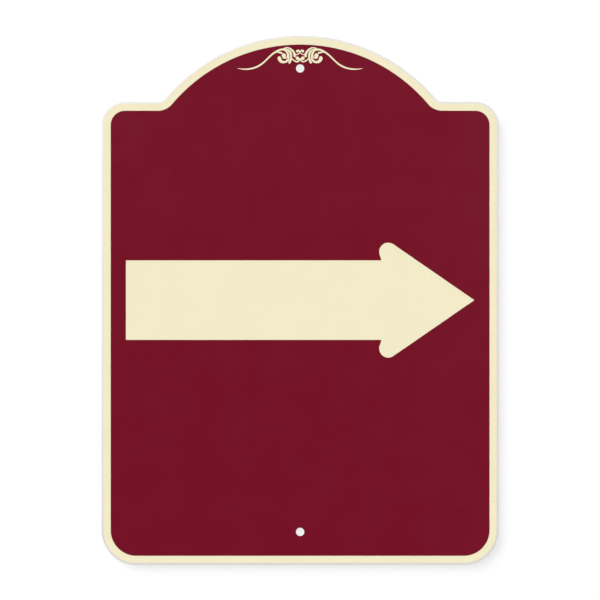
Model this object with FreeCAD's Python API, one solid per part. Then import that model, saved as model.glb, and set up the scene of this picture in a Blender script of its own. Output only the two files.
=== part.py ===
import FreeCAD, Part
import math
import os

# One way sign: a flat aluminium sheet with an arched top, faced with cream film that shows as
# the border, a burgundy field inside it, a cream arrow pointing to the viewer's right, and a
# cream scroll ornament above the upper bolt hole.
# The sign stands upright and faces -Y, with +X to the viewer's right and +Z up. The origin is on
# the back face, in the middle of the sheet and halfway between the two bolt holes.
# Every size is in millimetres and every angle in degrees.

# Sheet, a standard 18 x 24 in blank of heavy-gauge aluminium
SHEET_WIDTH = 457.2
SHEET_HEIGHT = 609.6
SHEET_THICKNESS = 1.6
# The punched edge is rounded over at the front, and its burr is bevelled off at the back
EDGE_ROUND = 0.4
EDGE_BEVEL = 0.25

# Arched top: an 8 in arch that stands 3 in above the shoulders
ARCH_RADIUS = 203.2
SHOULDER_DROP = 76.2
SHOULDER_FILLET_RADIUS = 11.0
TOP_CORNER_RADIUS = 27.0
BOTTOM_CORNER_RADIUS = 40.0

# Bolt holes, 3/8 in, one near the top edge and one near the bottom edge
HOLE_DIAMETER = 9.525
HOLE_EDGE_DISTANCE = 38.1

# Films. The ground film leaves a bare metal rim, and the field leaves the cream border
FILM_THICKNESS = 0.1
BARE_RIM = 2.2
BORDER_WIDTH = 10.6

# Arrow, with rounded barbs behind the head. Its tail and tip each stop short of the field's edge
ARROW_END_GAP = 17.5
ARROW_SHAFT_HEIGHT = 91.5
ARROW_HEAD_HALF_ANGLE = 34.6
ARROW_BARB_RISE = 20.35
ARROW_BARB_RADIUS = 10.4
ARROW_BARB_LEAN = 17.0

# Scroll ornament: its width, and the gap from the upper bolt hole up to the ornament's base line
SCROLL_WIDTH = 144.5
SCROLL_GAP = 1.9

# The right half of the ornament as drawn at DRAWN_WIDTH. A stroke is its centre line, each
# point given as x from the axis, z above the base line, and half the stroke's width.
DRAWN_WIDTH = 144.5
TAIL_STROKE = [
    (72.1, -6.5, 0.15), (61.5, -7.55, 0.76), (52.8, -6.0, 0.93), (44.8, -2.0, 0.9),
    (31.9, 9.7, 0.93), (25.1, 13.9, 1.05), (20.3, 15.1, 1.1), (16.9, 14.0, 1.1),
    (14.4, 10.2, 1.0), (15.2, 6.2, 0.8), (17.3, 5.2, 0.8), (19.3, 6.1, 1.1),
]
TAIL_LEAF_STROKE = [(28.1, 12.4, 0.6), (24.2, 11.8, 0.8), (21.3, 11.2, 1.05)]
OUTER_SCROLL_STROKE = [
    (17.2, 14.6, 0.7), (14.7, 12.1, 0.9), (13.5, 9.4, 0.95), (13.2, 6.6, 0.95),
    (13.9, 3.5, 1.1), (15.9, 1.4, 1.25), (18.5, 0.6, 1.3), (21.3, 1.2, 1.6),
    (23.2, 3.0, 1.9), (23.9, 5.2, 2.0),
]
LOWER_LEAF_STROKE = [
    (18.8, 15.8, 0.5), (16.6, 15.75, 0.6), (14.4, 14.9, 0.85), (12.0, 12.7, 1.15),
    (10.6, 10.0, 1.25), (10.3, 7.2, 1.1), (10.8, 3.9, 1.15), (12.3, 0.3, 1.35),
]
UPPER_LEAF_STROKE = [
    (19.6, 15.9, 0.3), (17.8, 16.8, 0.45), (15.4, 17.2, 0.55), (12.8, 16.7, 0.75),
    (10.0, 14.8, 1.05), (8.4, 13.3, 1.15), (7.2, 11.5, 1.2), (6.45, 9.5, 1.35),
    (6.3, 7.4, 1.3),
]
LOWER_CURL_STROKE = [
    (10.0, 4.7, 0.7), (8.1, 3.2, 0.7), (5.8, 1.7, 0.75), (3.5, 1.0, 0.75),
    (1.8, 1.9, 0.85), (0.9, 3.6, 0.95), (1.9, 5.1, 0.8),
]
UPPER_CURL_STROKE = [
    (5.2, 9.3, 0.5), (2.9, 9.45, 0.55), (1.3, 10.5, 0.55), (0.3, 11.9, 0.5),
    (0.8, 13.4, 0.6), (2.2, 14.1, 0.9),
]
STROKES = [
    TAIL_STROKE, TAIL_LEAF_STROKE, OUTER_SCROLL_STROKE, LOWER_LEAF_STROKE,
    UPPER_LEAF_STROKE, LOWER_CURL_STROKE, UPPER_CURL_STROKE,
]
# Round ends of the curls, as x, z and radius: the tail's spiral, the lower and the upper curl
CURL_ENDS = [(18.75, 8.2, 2.45), (3.2, 5.05, 2.0), (3.15, 13.2, 1.5)]

# Points nearer than this lie in the same plane
NEAR = 0.001

# Where each layer starts, measured back from the sheet's back face towards the viewer
SHEET_FRONT = -SHEET_THICKNESS
GROUND_FRONT = SHEET_FRONT - FILM_THICKNESS
FIELD_FRONT = GROUND_FRONT - FILM_THICKNESS
HOLE_HEIGHT = SHEET_HEIGHT / 2 - HOLE_EDGE_DISTANCE


def point(x, z, y=0.0):
    """Give a point of the face by its place across and up the sign."""
    return FreeCAD.Vector(x, y, z)


def on_circle(centre, radius, angle):
    """Give the point of a circle at an angle from +X towards +Z."""
    turn = math.radians(angle)
    return centre + point(radius * math.cos(turn), radius * math.sin(turn))


def arc(centre, radius, start, end):
    """Make the arc of a circle from one angle to another."""
    middle = on_circle(centre, radius, (start + end) / 2)
    return Part.Arc(on_circle(centre, radius, start), middle, on_circle(centre, radius, end)).toShape()


def line(start, end):
    """Make a straight edge."""
    return Part.LineSegment(start, end).toShape()


def mirrored(shape):
    """Mirror a shape to the other side of the sign's upright axis."""
    return shape.mirror(point(0, 0), FreeCAD.Vector(1, 0, 0))


def closed_wire(edges):
    """Join edges given in any order into one closed wire."""
    return Part.Wire(Part.__sortEdges__(edges))


def sign_outline(inset):
    """Make the sign's outline, moved in from the sheet's edge by inset.

    The centres of its arcs stay where they are, so convex arcs lose the inset and the hollow
    between shoulder and arch gains it.
    """
    half_width = SHEET_WIDTH / 2
    half_height = SHEET_HEIGHT / 2
    shoulder = half_height - SHOULDER_DROP
    arch_centre = point(0, half_height - ARCH_RADIUS)
    fillet_rise = shoulder + SHOULDER_FILLET_RADIUS - arch_centre.z
    centre_distance = ARCH_RADIUS + SHOULDER_FILLET_RADIUS
    arch_end = math.degrees(math.asin(fillet_rise / centre_distance))
    fillet_centre = on_circle(arch_centre, centre_distance, arch_end)
    top_centre = point(half_width - TOP_CORNER_RADIUS, shoulder - TOP_CORNER_RADIUS)
    bottom_centre = point(half_width - BOTTOM_CORNER_RADIUS, BOTTOM_CORNER_RADIUS - half_height)
    fillet_radius = SHOULDER_FILLET_RADIUS + inset
    top_radius = TOP_CORNER_RADIUS - inset
    bottom_radius = BOTTOM_CORNER_RADIUS - inset
    right_side = [
        arc(fillet_centre, fillet_radius, arch_end + 180, 270),
        line(on_circle(fillet_centre, fillet_radius, 270), on_circle(top_centre, top_radius, 90)),
        arc(top_centre, top_radius, 90, 0),
        line(on_circle(top_centre, top_radius, 0), on_circle(bottom_centre, bottom_radius, 0)),
        arc(bottom_centre, bottom_radius, 0, -90),
    ]
    left_side = [mirrored(edge) for edge in right_side]
    bottom_right = on_circle(bottom_centre, bottom_radius, -90)
    bottom = line(bottom_right, point(-bottom_right.x, bottom_right.z))
    crown = arc(arch_centre, ARCH_RADIUS - inset, 180 - arch_end, arch_end)
    return closed_wire([crown, bottom] + right_side + left_side)


def layer(outline, back, thickness):
    """Make a flat layer from its outline, its back at the given y and its front nearer the viewer."""
    face = Part.Face(outline)
    face.translate(FreeCAD.Vector(0, back, 0))
    return face.extrude(FreeCAD.Vector(0, -thickness, 0))


def drilled(solid):
    """Cut the two bolt holes through a layer, from behind the sheet to in front of the films."""
    reach = 2 * abs(FIELD_FRONT)
    for height in (HOLE_HEIGHT, -HOLE_HEIGHT):
        start = point(0, height, reach)
        drill = Part.makeCylinder(HOLE_DIAMETER / 2, 2 * reach, start, FreeCAD.Vector(0, -1, 0))
        solid = solid.cut(drill)
    return solid


def edges_in_plane(solid, y):
    """Find the edges of a solid that lie in the plane at y."""
    return [edge for edge in solid.Edges if all(abs(end.Y - y) < NEAR for end in edge.Vertexes)]


def aluminium_sheet():
    """Make the sheet, rounded over along its front edge and bevelled along its back edge."""
    blank = layer(sign_outline(0), 0, SHEET_THICKNESS)
    rounded = blank.makeFillet(EDGE_ROUND, edges_in_plane(blank, SHEET_FRONT))
    return drilled(rounded.makeChamfer(EDGE_BEVEL, edges_in_plane(rounded, 0)))


def cream_ground():
    """Make the cream film under everything, stopped short of the edge to leave the bare rim."""
    return drilled(layer(sign_outline(BARE_RIM), SHEET_FRONT, FILM_THICKNESS))


def burgundy_field():
    """Make the burgundy film, which leaves the cream border showing."""
    return drilled(layer(sign_outline(BORDER_WIDTH), GROUND_FRONT, FILM_THICKNESS))


def arrow_outline():
    """Make the arrow's outline: straight shaft, straight head edges and round barbs tangent to them."""
    half_shaft = ARROW_SHAFT_HEIGHT / 2
    half_length = SHEET_WIDTH / 2 - BORDER_WIDTH - ARROW_END_GAP
    tip = point(half_length, 0)
    tail = point(-half_length, half_shaft)
    slope = math.radians(ARROW_HEAD_HALF_ANGLE)
    barb_height = half_shaft + ARROW_BARB_RISE - ARROW_BARB_RADIUS
    barb_setback = (barb_height + ARROW_BARB_RADIUS / math.cos(slope)) / math.tan(slope)
    barb_centre = point(tip.x - barb_setback, barb_height)
    head_angle = 90 - ARROW_HEAD_HALF_ANGLE
    back_angle = 180 + ARROW_BARB_LEAN
    back_start = on_circle(barb_centre, ARROW_BARB_RADIUS, back_angle)
    back_drop = back_start.z - half_shaft
    root = point(back_start.x + back_drop * math.tan(math.radians(ARROW_BARB_LEAN)), half_shaft)
    upper = [
        line(tip, on_circle(barb_centre, ARROW_BARB_RADIUS, head_angle)),
        arc(barb_centre, ARROW_BARB_RADIUS, head_angle, back_angle),
        line(back_start, root),
        line(root, tail),
    ]
    lower = [edge.mirror(point(0, 0), FreeCAD.Vector(0, 0, 1)) for edge in upper]
    return closed_wire(upper + lower + [line(tail, point(tail.x, -tail.z))])


def arrow():
    """Make the cream arrow on the field."""
    return layer(arrow_outline(), FIELD_FRONT, FILM_THICKNESS)


def through(points):
    """Make one smooth curve through points."""
    curve = Part.BSplineCurve()
    curve.interpolate(points)
    return curve


def stroke_outline(stroke):
    """Make a stroke's outline: a smooth side each way from the centre line, and round ends."""
    centres = [point(x, z) for x, z, half_width in stroke]
    centre_line = through(centres)
    left = []
    right = []
    along = []
    for centre, (x, z, half_width) in zip(centres, stroke):
        direction = centre_line.tangent(centre_line.parameter(centre))[0]
        sideways = point(-direction.z, direction.x) * half_width
        left.append(centre + sideways)
        right.append(centre - sideways)
        along.append(direction * half_width)
    sides = [through(left).toShape(), through(right).toShape()]
    start = Part.Arc(left[0], centres[0] - along[0], right[0]).toShape()
    end = Part.Arc(left[-1], centres[-1] + along[-1], right[-1]).toShape()
    return closed_wire(sides + [start, end])


def disc_outline(x, z, radius):
    """Make the round end of a curl."""
    return Part.Wire(Part.makeCircle(radius, point(x, z), FreeCAD.Vector(0, 1, 0)))


def scrollwork():
    """Make the scroll ornament: tapered strokes and round curl ends, mirrored about the axis."""
    scale = SCROLL_WIDTH / DRAWN_WIDTH
    base = HOLE_HEIGHT + HOLE_DIAMETER / 2 + SCROLL_GAP
    outlines = []
    for stroke in STROKES:
        placed = [(x * scale, base + z * scale, half * scale) for x, z, half in stroke]
        outlines.append(stroke_outline(placed))
    for x, z, radius in CURL_ENDS:
        outlines.append(disc_outline(x * scale, base + z * scale, radius * scale))
    right_half = [layer(outline, FIELD_FRONT, FILM_THICKNESS) for outline in outlines]
    pieces = right_half + [mirrored(piece) for piece in right_half]
    return pieces[0].fuse(pieces[1:]).removeSplitter()


def main():
    """Write one file for each piece of the sign."""
    os.makedirs("parts", exist_ok=True)
    pieces = {
        "aluminium_sheet": aluminium_sheet(),
        "cream_ground": cream_ground(),
        "burgundy_field": burgundy_field(),
        "arrow": arrow(),
        "scrollwork": scrollwork(),
    }
    for name, shape in pieces.items():
        shape.exportStep(f"parts/{name}.step")


main()
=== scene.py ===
"""A one way sign: an arched aluminium sheet faced with cream and burgundy film.

The sign stands upright and faces -Y, with +X to the viewer's right and +Z up. The origin is on
its back face, halfway between the two bolt holes. Lengths are metres and angles are radians.
"""

import logging
import math
from dataclasses import dataclass
from enum import Enum

import bmesh
import bpy
from mathutils import Matrix, Vector

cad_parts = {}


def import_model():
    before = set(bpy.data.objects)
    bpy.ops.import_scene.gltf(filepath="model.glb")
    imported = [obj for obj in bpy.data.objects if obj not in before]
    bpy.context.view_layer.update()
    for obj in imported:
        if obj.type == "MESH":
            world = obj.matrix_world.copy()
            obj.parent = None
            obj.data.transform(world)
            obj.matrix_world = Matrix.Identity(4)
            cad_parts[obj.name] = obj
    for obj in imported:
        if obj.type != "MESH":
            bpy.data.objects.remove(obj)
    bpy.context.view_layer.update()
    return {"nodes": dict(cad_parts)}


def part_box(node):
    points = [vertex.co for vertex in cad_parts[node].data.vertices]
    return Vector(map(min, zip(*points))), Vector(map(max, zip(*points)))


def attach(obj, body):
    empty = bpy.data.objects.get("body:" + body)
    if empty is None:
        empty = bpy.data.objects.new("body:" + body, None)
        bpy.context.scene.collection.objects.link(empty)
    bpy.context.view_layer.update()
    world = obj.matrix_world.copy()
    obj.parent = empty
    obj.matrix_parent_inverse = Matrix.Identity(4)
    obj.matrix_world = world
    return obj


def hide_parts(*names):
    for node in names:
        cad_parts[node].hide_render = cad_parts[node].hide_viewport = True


LOG = logging.getLogger("one_way_sign")

MM = 0.001

# The viewer stands on this side of the sign, and a turn about it is anticlockwise to the viewer
TO_VIEWER = Vector((0.0, -1.0, 0.0))
QUARTER_TURN = math.pi / 2
# How far a chord may stand off its arc, and how near two points are one
CHORD_ERROR = 0.004 * MM
SAME_PLACE = 0.001 * MM
# Faces that meet at more than this angle form a corner
CORNER_ANGLE = math.radians(60.0)
# A face whose normal points along Y by more than this share is part of the flat front or back
NEARLY_FLAT = math.cos(math.radians(1.0))
# An edge within this many radii of a hole's middle is the hole's own, and all others are far
HOLE_SEARCH = 2.0

# A noise lies about 0.5, and a pattern takes up one of these ranges of it
NOISE_RANGE = (0.3, 0.7)
WIDE_NOISE_RANGE = (0.25, 0.75)
# How strong each finer octave of a noise is beside the one before
OCTAVE_SHARE = 0.55

WHITE = (1.0, 1.0, 1.0, 1.0)

Socket = bpy.types.NodeSocket


class Axis(Enum):
    """The direction in which half an outline is mirrored."""

    ACROSS = "X"
    UPRIGHT = "Z"


class Slot(Enum):
    """The sign's material slots."""

    METAL = "bare_aluminium"
    CREAM = "cream_film"
    BURGUNDY = "burgundy_film"


class FilmColour(Enum):
    """The two film colours of the sign, as linear red, green and blue."""

    CREAM = (0.919, 0.846, 0.594)
    BURGUNDY = (0.1765, 0.0019, 0.0165)


class Combine(Enum):
    """How a node makes one value of two."""

    PRODUCT = "MULTIPLY"
    LARGER = "MAXIMUM"


def on_face(x: float, z: float) -> Vector:
    """Give the point that lies x across and z up the sign."""
    return Vector((x, 0.0, z))


def about(middle: float, swing: float) -> tuple[float, float]:
    """Give the range that reaches a swing to either side of a middle."""
    return middle - swing, middle + swing


class Pen:
    """Draws one open line in a mesh, run by run, in a plane that faces the viewer."""

    def __init__(self, mesh: bmesh.types.BMesh, start: Vector) -> None:
        """Put the pen down in a mesh, at the line's first point."""
        self.mesh = mesh
        self.tip = bmesh.ops.create_vert(mesh, co=start)["vert"][0]

    def line_to(self, end: Vector) -> None:
        """Draw a straight run to a point, unless the pen is there already.

        Args:
            end: The point.
        """
        if (end - self.tip.co).length < SAME_PLACE:
            return
        grown = bmesh.ops.extrude_vert_indiv(self.mesh, verts=[self.tip])["verts"][0]
        bmesh.ops.translate(self.mesh, verts=[grown], vec=end - grown.co)
        self.tip = grown

    def swing(self, centre: Vector, turn: float) -> None:
        """Draw an arc about a centre.

        Args:
            centre: The middle of the arc's circle.
            turn: The arc's angle, anticlockwise to the viewer.
        """
        radius = (self.tip.co - centre).length
        step = 2.0 * math.acos(1.0 - CHORD_ERROR / radius)
        steps = max(2, math.ceil(abs(turn) / step))
        spun = bmesh.ops.spin(
            self.mesh,
            geom=[self.tip],
            cent=centre,
            axis=TO_VIEWER,
            angle=turn,
            steps=steps,
            use_merge=False,
            use_duplicate=False,
        )
        self.tip = next(item for item in spun["geom_last"] if isinstance(item, bmesh.types.BMVert))


def mirrored_plate(mesh: bmesh.types.BMesh, axis: Axis, front: float, thickness: float) -> None:
    """Turn the closed line round half a plate into the whole plate.

    Args:
        mesh: The mesh that holds the line, at y = 0, and nothing else.
        axis: The direction in which the half is mirrored.
        front: The place of the plate's front along Y.
        thickness: How far the plate reaches back from its front.
    """
    bmesh.ops.remove_doubles(mesh, verts=mesh.verts, dist=SAME_PLACE)
    bmesh.ops.contextual_create(mesh, geom=mesh.edges[:])
    everything = mesh.verts[:] + mesh.edges[:] + mesh.faces[:]
    bmesh.ops.mirror(mesh, geom=everything, axis=axis.value, merge_dist=SAME_PLACE)
    bmesh.ops.remove_doubles(mesh, verts=mesh.verts, dist=SAME_PLACE)
    bmesh.ops.translate(mesh, verts=mesh.verts, vec=(0.0, front, 0.0))
    grown = bmesh.ops.extrude_face_region(mesh, geom=mesh.faces[:])["geom"]
    moved = [item for item in grown if isinstance(item, bmesh.types.BMVert)]
    bmesh.ops.translate(mesh, verts=moved, vec=(0.0, thickness, 0.0))
    bmesh.ops.recalc_face_normals(mesh, faces=mesh.faces)


def corner_edges(mesh: bmesh.types.BMesh, y: float) -> list[bmesh.types.BMEdge]:
    """Find the edges along which a plate turns a corner.

    Args:
        mesh: The plate.
        y: The place along Y of the flat side that the edges bound.

    Returns:
        The edges.
    """
    found = []
    for edge in mesh.edges:
        in_plane = all(abs(vert.co.y - y) < SAME_PLACE for vert in edge.verts)
        if in_plane and edge.calc_face_angle(0.0) > CORNER_ANGLE:
            found.append(edge)
    return found


def eased(mesh: bmesh.types.BMesh, edges: list[bmesh.types.BMEdge], width: float, steps: int) -> None:
    """Round edges over.

    Args:
        mesh: The mesh that holds them.
        edges: The edges.
        width: How far the easing reaches along each face.
        steps: How many faces it has.
    """
    bmesh.ops.bevel(
        mesh,
        geom=edges,
        offset=width,
        offset_type="OFFSET",
        segments=steps,
        profile=0.5,
        affect="EDGES",
        material=-1,
        clamp_overlap=True,
    )


def finished_piece(mesh: bmesh.types.BMesh, name: str, finish: bpy.types.Material) -> bpy.types.Object:
    """Make an object of a mesh, with flat faces front and back and smooth ones round the edge.

    Args:
        mesh: The finished mesh, freed here.
        name: The piece's name.
        finish: The piece's material.

    Returns:
        The object, at the origin.
    """
    for face in mesh.faces:
        face.smooth = abs(face.normal.y) < NEARLY_FLAT
    for edge in mesh.edges:
        edge.smooth = edge.calc_face_angle(0.0) < CORNER_ANGLE
    data = bpy.data.meshes.new(name)
    mesh.to_mesh(data)
    mesh.free()
    data.materials.append(finish)
    piece = bpy.data.objects.new(name, data)
    bpy.context.scene.collection.objects.link(piece)
    return piece


class NodeGraph:
    """A tree of shader nodes, added and joined in plain calls."""

    def __init__(self, tree: bpy.types.NodeTree) -> None:
        """Take up a tree with the nodes that it has."""
        self.nodes = tree.nodes
        self.links = tree.links

    def node(self, kind: str, **inputs: object) -> bpy.types.Node:
        """Add a node.

        Args:
            kind: The node's type, without its ShaderNode prefix.
            inputs: A value, or an output to link, for each input by its name with _ for space.

        Returns:
            The node.
        """
        made = self.nodes.new("ShaderNode" + kind)
        for name, value in inputs.items():
            self.feed(made.inputs[name.replace("_", " ")], value)
        return made

    def feed(self, socket: Socket, value: object) -> None:
        """Give an input its value.

        Args:
            socket: The input.
            value: An output to link to it, or the plain value that it is set to.
        """
        if isinstance(value, Socket):
            self.links.new(value, socket)
        else:
            socket.default_value = value

    def combine(self, way: Combine, first: Socket, second: Socket | float) -> Socket:
        """Make one value of two.

        Args:
            way: What is done with them.
            first: The first value.
            second: The second value.

        Returns:
            The new value.
        """
        made = self.node("Math")
        made.operation = way.value
        self.feed(made.inputs[0], first)
        self.feed(made.inputs[1], second)
        return made.outputs["Value"]

    def spread(self, value: Socket, source: tuple[float, float], target: tuple[float, float]) -> Socket:
        """Carry a value from one range to another.

        Args:
            value: The value.
            source: The range that it comes from, and at whose ends it is held.
            target: The range that it goes to.

        Returns:
            The new value.
        """
        made = self.node(
            "MapRange",
            Value=value,
            From_Min=source[0],
            From_Max=source[1],
            To_Min=target[0],
            To_Max=target[1],
        )
        return made.outputs["Result"]


@dataclass(frozen=True)
class Pattern:
    """A noise on a piece: how wide and high its features are, how fine it goes and how it is turned."""

    width: float
    height: float
    octaves: float
    turn: float = 0.0


class MaterialGraph(NodeGraph):
    """The nodes of one material, with its patterns in the piece's own coordinates."""

    def __init__(self, name: str) -> None:
        """Start a material with only its principled shader and its output.

        Args:
            name: The material's name.
        """
        self.material = bpy.data.materials.new(name)
        self.material.use_nodes = True
        super().__init__(self.material.node_tree)
        self.shader = self.nodes["Principled BSDF"]

    def noise(self, pattern: Pattern) -> Socket:
        """Lay a pattern over the piece, whose own coordinates are turned and then stretched for it.

        Args:
            pattern: The pattern.

        Returns:
            The noise.
        """
        place = self.node("TexCoord").outputs["Object"]
        turned = self.node("VectorRotate", Vector=place, Axis=TO_VIEWER, Angle=pattern.turn)
        scale = Vector((1 / pattern.width, 1 / pattern.width, 1 / pattern.height))
        drawn = self.node("Mapping", Vector=turned.outputs["Vector"], Scale=scale)
        made = self.node(
            "TexNoise",
            Vector=drawn.outputs["Vector"],
            Scale=1.0,
            Detail=pattern.octaves,
            Roughness=OCTAVE_SHARE,
        )
        return made.outputs["Fac"]

    def shade(self, colour: tuple[float, ...], factor: Socket) -> Socket:
        """Make a colour lighter or darker.

        Args:
            colour: The colour, as linear red, green and blue.
            factor: How much lighter, where 1 leaves it as it is.

        Returns:
            The new colour.
        """
        made = self.node("VectorMath")
        made.operation = "SCALE"
        self.feed(made.inputs[0], colour)
        self.feed(made.inputs["Scale"], factor)
        return made.outputs["Vector"]

    def relief(self, height: Socket, depth: float, under: Socket | None = None) -> Socket:
        """Raise and lower the surface.

        Args:
            height: Where the surface is high, from 0 to 1.
            depth: How far it rises from 0 to 1.
            under: The normal of the relief that this one lies on.

        Returns:
            The normal.
        """
        made = self.node("Bump", Strength=1.0, Distance=depth, Height=height)
        if under is not None:
            self.feed(made.inputs["Normal"], under)
        return made.outputs["Normal"]


@dataclass(frozen=True)
class SatinFilm:
    """Printed vinyl film, even in colour, with a soft gloss and a faint orange peel."""

    name: str
    colour: FilmColour
    clouds: Pattern = Pattern(45.0 * MM, 45.0 * MM, 3.0)
    grain: Pattern = Pattern(0.9 * MM, 0.9 * MM, 2.0)
    mottle: float = 0.012
    peel: Pattern = Pattern(1.6 * MM, 1.6 * MM, 1.0)
    peel_depth: float = 0.006 * MM
    roughness: float = 0.24
    roughness_swing: float = 0.03
    gloss_level: float = 0.35

    def material(self) -> bpy.types.Material:
        """Build the film's material.

        Returns:
            The material.
        """
        graph = MaterialGraph(self.name)
        shader = graph.shader.inputs
        clouds = graph.noise(self.clouds)
        broad = graph.spread(clouds, NOISE_RANGE, about(1.0, self.mottle))
        fine = graph.spread(graph.noise(self.grain), NOISE_RANGE, about(1.0, self.mottle))
        tone = graph.combine(Combine.PRODUCT, broad, fine)
        graph.feed(shader["Base Color"], graph.shade(self.colour.value, tone))
        roughness = graph.spread(clouds, NOISE_RANGE, about(self.roughness, self.roughness_swing))
        graph.feed(shader["Roughness"], roughness)
        shader["Specular IOR Level"].default_value = self.gloss_level
        graph.feed(shader["Normal"], graph.relief(graph.noise(self.peel), self.peel_depth))
        return graph.material


@dataclass(frozen=True)
class MillAluminium:
    """Bare sheet aluminium from the rolls: upright grain, broad bands and a few hairline marks."""

    name: str
    colour: tuple[float, float, float] = (0.885, 0.88, 0.855)
    metal_share: float = 0.4
    grain: Pattern = Pattern(0.55 * MM, 60.0 * MM, 4.0)
    grain_contrast: float = 0.05
    grain_depth: float = 0.003 * MM
    bands: Pattern = Pattern(6.0 * MM, 900.0 * MM, 3.0)
    band_contrast: float = 0.02
    clouds: Pattern = Pattern(110.0 * MM, 110.0 * MM, 3.0)
    cloud_contrast: float = 0.015
    marks: Pattern = Pattern(1.4 * MM, 190.0 * MM, 2.0, math.radians(24.0))
    mark_range: tuple[float, float] = (0.64, 0.70)
    mark_depth: float = 0.004 * MM
    roughness: float = 0.46
    roughness_swing: float = 0.05

    def material(self) -> bpy.types.Material:
        """Build the metal's material.

        Returns:
            The material.
        """
        graph = MaterialGraph(self.name)
        shader = graph.shader.inputs
        grain = graph.noise(self.grain)
        bands = graph.noise(self.bands)
        marks = graph.spread(graph.noise(self.marks), self.mark_range, (0.0, 1.0))
        streaks = graph.spread(grain, WIDE_NOISE_RANGE, about(1.0, self.grain_contrast))
        rolled = graph.spread(bands, NOISE_RANGE, about(1.0, self.band_contrast))
        patches = graph.spread(graph.noise(self.clouds), NOISE_RANGE, about(1.0, self.cloud_contrast))
        striped = graph.combine(Combine.PRODUCT, streaks, rolled)
        tone = graph.combine(Combine.PRODUCT, striped, patches)
        graph.feed(shader["Base Color"], graph.shade(self.colour, tone))
        roughness = graph.spread(bands, NOISE_RANGE, about(self.roughness, self.roughness_swing))
        graph.feed(shader["Roughness"], roughness)
        shader["Metallic"].default_value = self.metal_share
        grained = graph.relief(grain, self.grain_depth)
        graph.feed(shader["Normal"], graph.relief(marks, self.mark_depth, grained))
        return graph.material


@dataclass
class SignBlank:
    """The arched outline that the sheet and both large films share, and the sheet itself."""

    width: float
    height: float
    thickness: float
    arch_radius: float = 203.2 * MM
    shoulder_drop: float = 76.2 * MM
    shoulder_fillet: float = 11.0 * MM
    top_corner: float = 27.0 * MM
    bottom_corner: float = 40.0 * MM
    hole_radius: float = 4.7625 * MM
    hole_edge_distance: float = 38.1 * MM
    edge_round: float = 0.4 * MM
    edge_round_steps: int = 6
    edge_bevel: float = 0.25 * MM
    edge_bevel_steps: int = 2
    hole_break: float = 0.12 * MM
    hole_break_steps: int = 3

    @property
    def hole_height(self) -> float:
        """How far the bolt holes lie above and below the sign's middle."""
        return self.height / 2 - self.hole_edge_distance

    def half_line(self, mesh: bmesh.types.BMesh, inset: float) -> None:
        """Draw the closed line round the outline's right half, past both bolt holes.

        The centres of the arcs stay where they are, so convex arcs lose the inset and the hollow
        between shoulder and arch gains it.

        Args:
            mesh: The mesh that gets the line.
            inset: How far the line is moved in from the sheet's edge.
        """
        half_width = self.width / 2
        half_height = self.height / 2
        shoulder = half_height - self.shoulder_drop
        crown = on_face(0, half_height - self.arch_radius)
        rise = shoulder + self.shoulder_fillet - crown.z
        reach = self.arch_radius + self.shoulder_fillet
        arch_turn = math.acos(rise / reach)
        hollow = crown + on_face(reach * math.sin(arch_turn), rise)
        top = on_face(half_width - self.top_corner, shoulder - self.top_corner)
        bottom = on_face(half_width - self.bottom_corner, self.bottom_corner - half_height)
        start = crown + on_face(0, self.arch_radius - inset)

        pen = Pen(mesh, start)
        pen.swing(crown, -arch_turn)
        pen.swing(hollow, arch_turn)
        pen.line_to(top + on_face(0, self.top_corner - inset))
        pen.swing(top, -QUARTER_TURN)
        pen.line_to(bottom + on_face(self.bottom_corner - inset, 0))
        pen.swing(bottom, -QUARTER_TURN)
        pen.line_to(on_face(0, inset - half_height))
        for hole in (on_face(0, -self.hole_height), on_face(0, self.hole_height)):
            pen.line_to(hole - on_face(0, self.hole_radius))
            pen.swing(hole, 2 * QUARTER_TURN)
        pen.line_to(start)

    def is_hole_edge(self, edge: bmesh.types.BMEdge) -> bool:
        """Tell whether an edge runs round a bolt hole."""
        middle = (edge.verts[0].co + edge.verts[1].co) / 2
        return math.hypot(middle.x, abs(middle.z) - self.hole_height) < HOLE_SEARCH * self.hole_radius

    def sheet(self, finish: bpy.types.Material) -> bpy.types.Object:
        """Build the sheet, its edge rounded over in front and bevelled behind, its holes eased.

        Args:
            finish: The bare metal.

        Returns:
            The piece.
        """
        mesh = bmesh.new()
        self.half_line(mesh, 0.0)
        mirrored_plate(mesh, Axis.ACROSS, -self.thickness, self.thickness)
        front = [edge for edge in corner_edges(mesh, -self.thickness) if not self.is_hole_edge(edge)]
        eased(mesh, front, self.edge_round, self.edge_round_steps)
        back = [edge for edge in corner_edges(mesh, 0.0) if not self.is_hole_edge(edge)]
        eased(mesh, back, self.edge_bevel, self.edge_bevel_steps)
        left = corner_edges(mesh, -self.thickness) + corner_edges(mesh, 0.0)
        holes = [edge for edge in left if self.is_hole_edge(edge)]
        eased(mesh, holes, self.hole_break, self.hole_break_steps)
        return finished_piece(mesh, "rolled_sheet", finish)


@dataclass
class CutFilm:
    """A film that a knife has cut, its edge pressed down a little."""

    front: float
    thickness: float
    cut_edge: float = 0.03 * MM
    cut_edge_steps: int = 2

    def pressed(self, mesh: bmesh.types.BMesh, axis: Axis) -> None:
        """Turn the closed line round half the film, alone in its mesh, into the film."""
        mirrored_plate(mesh, axis, self.front, self.thickness)
        eased(mesh, corner_edges(mesh, self.front), self.cut_edge, self.cut_edge_steps)


@dataclass
class LargeFilm:
    """A film that follows the sign's outline and is punched with its bolt holes."""

    name: str
    blank: SignBlank
    inset: float
    film: CutFilm

    def build(self, finish: bpy.types.Material) -> bpy.types.Object:
        """Build the film.

        Args:
            finish: The film's material.

        Returns:
            The piece.
        """
        mesh = bmesh.new()
        self.blank.half_line(mesh, self.inset)
        self.film.pressed(mesh, Axis.ACROSS)
        return finished_piece(mesh, self.name, finish)


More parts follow.
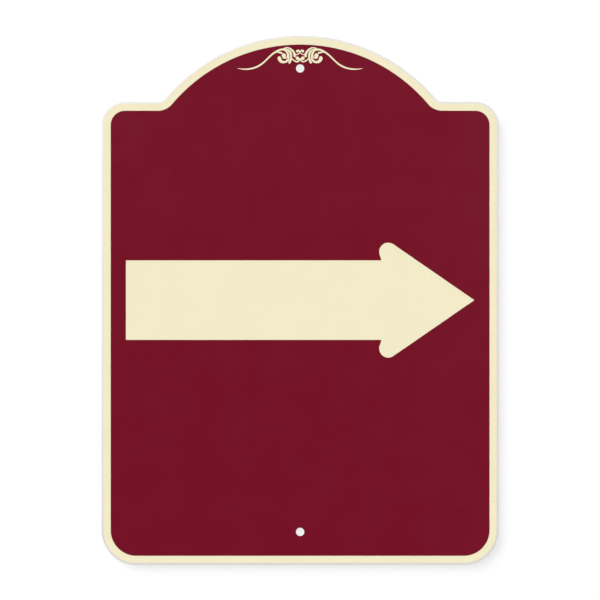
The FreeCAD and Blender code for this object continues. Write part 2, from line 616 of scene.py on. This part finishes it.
@dataclass
class Arrow:
    """The plain cream arrow: a straight shaft and a head with round barbs behind it."""

    half_length: float
    film: CutFilm
    shaft_height: float = 91.5 * MM
    head_half_angle: float = math.radians(34.6)
    barb_rise: float = 20.35 * MM
    barb_radius: float = 10.4 * MM
    barb_lean: float = math.radians(17.0)

    def upper_line(self, mesh: bmesh.types.BMesh) -> None:
        """Draw the closed line round the arrow's upper half.

        The head's slanting side runs into the barb's arc, and a line that leans forward leaves
        the arc for the shaft.

        Args:
            mesh: The mesh that gets the line.
        """
        half_shaft = self.shaft_height / 2
        barb_height = half_shaft + self.barb_rise - self.barb_radius
        slant_height = barb_height + self.barb_radius / math.cos(self.head_half_angle)
        setback = slant_height / math.tan(self.head_half_angle)
        barb = on_face(self.half_length - setback, barb_height)
        head_turn = QUARTER_TURN - self.head_half_angle
        lean = self.barb_lean
        leave = barb + on_face(-math.cos(lean), -math.sin(lean)) * self.barb_radius
        root = on_face(leave.x + (leave.z - half_shaft) * math.tan(lean), half_shaft)
        tip = on_face(self.half_length, 0)

        pen = Pen(mesh, tip)
        pen.line_to(barb + on_face(math.cos(head_turn), math.sin(head_turn)) * self.barb_radius)
        pen.swing(barb, 2 * QUARTER_TURN + lean - head_turn)
        pen.line_to(root)
        pen.line_to(on_face(-self.half_length, half_shaft))
        pen.line_to(on_face(-self.half_length, 0))
        pen.line_to(tip)

    def build(self, finish: bpy.types.Material) -> bpy.types.Object:
        """Build the arrow.

        Args:
            finish: The film's material.

        Returns:
            The piece.
        """
        mesh = bmesh.new()
        self.upper_line(mesh)
        self.film.pressed(mesh, Axis.UPRIGHT)
        return finished_piece(mesh, "arrow_film", finish)


@dataclass
class Sign:
    """The whole sign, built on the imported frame."""

    nodes: dict[str, bpy.types.Object]

    def span(self, node: str) -> tuple[Vector, Vector]:
        """Give a node's lowest corner and its size."""
        low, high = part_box(node)
        return low, high - low

    def place(self, piece: bpy.types.Object, node: str, slot: Slot) -> None:
        """Let a piece stand for a node and ride with the sign.

        Args:
            piece: The piece.
            node: The node that it stands for.
            slot: Not used.
        """
        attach(piece, "root")
        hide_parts(node)
        LOG.info("%s: %d faces, for %s", piece.name, len(piece.data.polygons), node)

    def build(self) -> None:
        """Build every piece of the sign and dress it."""
        finishes = {
            Slot.METAL: MillAluminium("mill_aluminium").material(),
            Slot.CREAM: SatinFilm("cream_vinyl", FilmColour.CREAM).material(),
            Slot.BURGUNDY: SatinFilm("burgundy_vinyl", FilmColour.BURGUNDY).material(),
        }
        low, size = self.span("aluminium_sheet")
        blank = SignBlank(size.x, size.z, size.y)
        self.place(blank.sheet(finishes[Slot.METAL]), "aluminium_sheet", Slot.METAL)
        for name, node, slot in (
            ("ground_film", "cream_ground", Slot.CREAM),
            ("field_film", "burgundy_field", Slot.BURGUNDY),
        ):
            film_low, film_size = self.span(node)
            film = LargeFilm(name, blank, film_low.x - low.x, CutFilm(film_low.y, film_size.y))
            self.place(film.build(finishes[slot]), node, slot)
        arrow_low, arrow_size = self.span("arrow")
        arrow = Arrow(arrow_size.x / 2, CutFilm(arrow_low.y, arrow_size.y))
        self.place(arrow.build(finishes[Slot.CREAM]), "arrow", Slot.CREAM)
        scrollwork = self.nodes["scrollwork"]
        for material_slot in scrollwork.material_slots:
            material_slot.material = finishes[Slot.CREAM]
        LOG.info("scrollwork: %d faces, as cut", len(scrollwork.data.polygons))


def hang(data: bpy.types.Light, place: Vector) -> None:
    """Hang a light so that it shines at the middle of the sign.

    Args:
        data: The light.
        place: Where it hangs.
    """
    lamp = bpy.data.objects.new(data.name, data)
    lamp.rotation_mode = "QUATERNION"
    lamp.rotation_quaternion = place.to_track_quat("Z", "Y")
    lamp.location = place
    bpy.context.scene.collection.objects.link(lamp)


@dataclass
class SoftLight:
    """A wide, far soft light, named by where it stands as seen from the sign."""

    name: str
    across: float
    up: float
    spread: float
    share: float
    distance: float = 3.0

    def build(self) -> None:
        """Hang the light so that it gives its share of the light on the sign's face."""
        towards = Vector((math.tan(self.across), -1.0, math.tan(self.up))).normalized()
        data = bpy.data.lights.new(self.name, "SUN")
        data.angle = self.spread
        data.energy = self.share * math.pi / abs(towards.y)
        hang(data, towards * self.distance)


@dataclass
class SoftBox:
    """A square soft light near the sign, whose light falls off across the metal."""

    name: str
    place: Vector
    side: float
    power: float

    def build(self) -> None:
        """Hang the light in its place."""
        data = bpy.data.lights.new(self.name, "AREA")
        data.shape = "SQUARE"
        data.size = self.side
        data.energy = self.power
        hang(data, self.place)


@dataclass
class Studio:
    """A pale floor, a near pale wall, soft light and the camera.

    The floor, the wall and the sky are white to the camera. The wall is white in the gloss of the
    rim and back too. The floor is left out of gloss and the sky stays dim in it, because a white
    reflection would veil the deep burgundy.
    """

    sheet_front: float
    photo_side: float = 600.0
    sheet_centre_in_photo: tuple[float, float] = (300.12, 300.15)
    view_width: float = 690.6 * MM
    lens: float = 100.0
    sensor: float = 36.0
    far_limit: float = 100.0
    wall_gap: float = 8.5 * MM
    wall_side: float = 1.3
    wall_shadow_share: float = 0.38
    wall_level: float = 1.028
    floor_height: float = -420.0 * MM
    floor_side: float = 40.0
    floor_shadow_share: float = 0.25
    floor_lift: float = 0.74
    sky_front: float = 0.107
    sky_side: float = 0.536
    sky_back: float = 0.22

    def camera(self) -> None:
        """Look straight at the sign from where the photograph was taken."""
        scale = self.view_width / self.photo_side
        column, row = self.sheet_centre_in_photo
        middle = self.photo_side / 2
        distance = self.view_width * self.lens / self.sensor
        data = bpy.data.cameras.new("camera")
        data.lens = self.lens
        data.sensor_width = self.sensor
        data.clip_end = self.far_limit
        eye = bpy.data.objects.new("camera", data)
        eye.location = ((middle - column) * scale, self.sheet_front - distance, (row - middle) * scale)
        eye.rotation_euler = (QUARTER_TURN, 0.0, 0.0)
        bpy.context.scene.collection.objects.link(eye)
        bpy.context.scene.camera = eye

    def backing(self, name: str, shadow_share: float, lift: float) -> bpy.types.Material:
        """Make a surface that is white of itself, keeps shadows and is clear from behind.

        Its own brightness answers camera, gloss and transmission rays.

        Args:
            name: The material's name.
            shadow_share: How much of its brightness comes from the light that falls on it.
            lift: The brightness that it has of itself.

        Returns:
            The material.
        """
        graph = MaterialGraph(name)
        graph.nodes.remove(graph.shader)
        white = graph.node("BsdfDiffuse", Color=(shadow_share, shadow_share, shadow_share, 1.0))
        rays = graph.node("LightPath").outputs
        direct = graph.combine(Combine.LARGER, rays["Is Camera Ray"], rays["Is Glossy Ray"])
        seen = graph.combine(Combine.LARGER, direct, rays["Is Transmission Ray"])
        strength = graph.combine(Combine.PRODUCT, seen, lift)
        glow = graph.node("Emission", Color=WHITE, Strength=strength)
        both = graph.node("AddShader")
        graph.feed(both.inputs[0], white.outputs["BSDF"])
        graph.feed(both.inputs[1], glow.outputs["Emission"])
        side = graph.node("NewGeometry")
        clear = graph.node("BsdfTransparent")
        choice = graph.node("MixShader", Fac=side.outputs["Backfacing"])
        graph.feed(choice.inputs[1], both.outputs["Shader"])
        graph.feed(choice.inputs[2], clear.outputs["BSDF"])
        graph.feed(graph.nodes["Material Output"].inputs["Surface"], choice.outputs["Shader"])
        return graph.material

    def panel(
        self, name: str, side: float, place: Matrix, finish: bpy.types.Material, in_gloss: bool
    ) -> None:
        """Make a square panel of the stage that throws no light or shade on the sign.

        Args:
            name: The panel's name.
            side: The length of its side.
            place: Where it stands, and how it is turned from lying flat.
            finish: Its material.
            in_gloss: Whether the sign's gloss shows it.
        """
        mesh = bmesh.new()
        bmesh.ops.create_grid(mesh, x_segments=1, y_segments=1, size=side / 2)
        bmesh.ops.transform(mesh, matrix=place, verts=mesh.verts)
        data = bpy.data.meshes.new(name)
        mesh.to_mesh(data)
        mesh.free()
        data.materials.append(finish)
        panel = bpy.data.objects.new(name, data)
        bpy.context.scene.collection.objects.link(panel)
        panel.visible_diffuse = False
        panel.visible_shadow = False
        panel.visible_glossy = in_gloss

    def sky(self) -> None:
        """Surround the sign with a sky that is dim before and behind it and white to the camera."""
        world = bpy.data.worlds.new("studio")
        world.use_nodes = True
        graph = NodeGraph(world.node_tree)
        where = graph.node("TexCoord").outputs["Generated"]
        along = graph.node("SeparateXYZ", Vector=where).outputs["Y"]
        ahead = graph.spread(along, (-1.0, 0.0), (self.sky_front, self.sky_side))
        behind = graph.spread(along, (0.0, 1.0), (1.0, self.sky_back / self.sky_side))
        level = graph.combine(Combine.PRODUCT, ahead, behind)
        rays = graph.node("LightPath").outputs
        seen = graph.combine(Combine.LARGER, rays["Is Camera Ray"], rays["Is Transmission Ray"])
        background = graph.nodes["Background"].inputs
        graph.feed(background["Color"], WHITE)
        graph.feed(background["Strength"], graph.combine(Combine.LARGER, level, seen))
        bpy.context.scene.world = world

    def build(self) -> None:
        """Set up the whole studio."""
        wall_lift = self.wall_level - self.wall_shadow_share
        wall_finish = self.backing("wall_paper", self.wall_shadow_share, wall_lift)
        upright = Matrix.Translation((0.0, self.wall_gap, 0.0)) @ Matrix.Rotation(QUARTER_TURN, 4, "X")
        self.panel("wall", self.wall_side, upright, wall_finish, in_gloss=True)
        floor_finish = self.backing("floor_paper", self.floor_shadow_share, self.floor_lift)
        flat = Matrix.Translation((0.0, 0.0, self.floor_height))
        self.panel("floor", self.floor_side, flat, floor_finish, in_gloss=False)
        lights = (
            SoftLight(
                "key_light",
                across=math.radians(-40.0),
                up=math.radians(40.0),
                spread=math.radians(54.0),
                share=0.62,
            ),
            SoftLight(
                "fill_light",
                across=math.radians(40.0),
                up=math.radians(11.0),
                spread=math.radians(60.0),
                share=0.13,
            ),
            SoftBox("back_light", place=Vector((0.5, 0.9, 0.75)), side=0.7, power=3.0),
        )
        for light in lights:
            light.build()
        self.sky()
        self.camera()
        bpy.context.scene.view_settings.view_transform = "Standard"
        LOG.info("studio: wall, floor, %d lights, sky and camera", len(lights))


def main() -> None:
    """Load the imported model, dress it and light it."""
    logging.basicConfig(level=logging.INFO, format="%(name)s: %(message)s")
    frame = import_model()
    Sign(frame["nodes"]).build()
    Studio(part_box("aluminium_sheet")[0].y).build()


if __name__ == "__main__":
    main()
